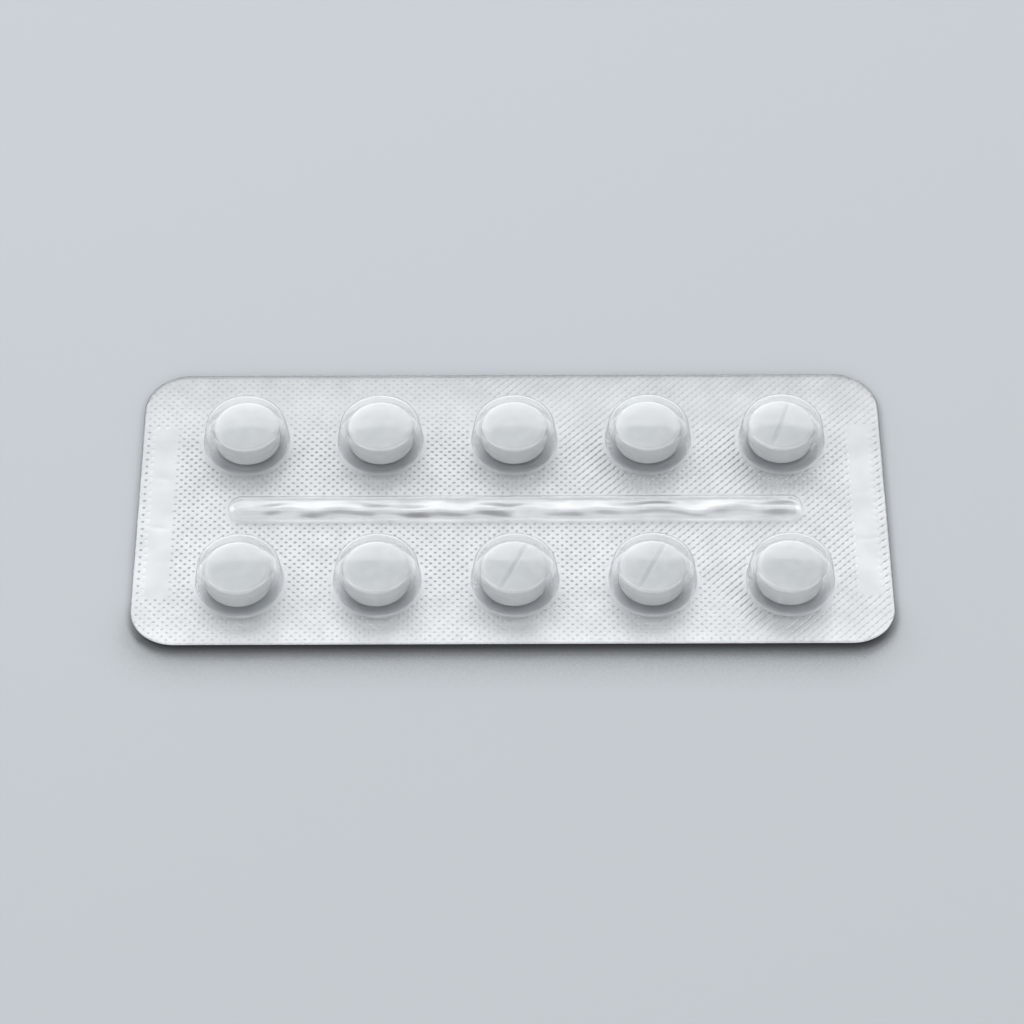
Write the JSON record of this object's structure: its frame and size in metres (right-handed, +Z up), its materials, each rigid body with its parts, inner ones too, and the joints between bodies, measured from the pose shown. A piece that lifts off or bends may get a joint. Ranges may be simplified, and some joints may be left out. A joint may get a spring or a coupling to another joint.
{
  "type": "pill blister pack",
  "caption": "Flat pharmacy blister pack: clear thermoformed film with two rows of round pockets and a stiffening rib, sealed on push-through foil, a flat round tablet in each pocket.",
  "frame": {"origin": "middle of the cut outline, on the table under the pack", "axes": "+X along the pack's long side, +Y across it to the back row, +Z up out of the pockets"},
  "size_m": [0.092, 0.0424, 0.0041],
  "materials": {
    "clear_film": "gloss",
    "lidding_foil": "satin",
    "tablet": "matte"
  },
  "bodies": {
    "root": {"formed_film": "clear_film", "lidding_foil": "lidding_foil", "tablet_01": "tablet", "tablet_02": "tablet", "tablet_03": "tablet", "tablet_04": "tablet", "tablet_05": "tablet", "tablet_06": "tablet", "tablet_07": "tablet", "tablet_08": "tablet", "tablet_09": "tablet", "tablet_10": "tablet"}
  },
  "joints": []
}
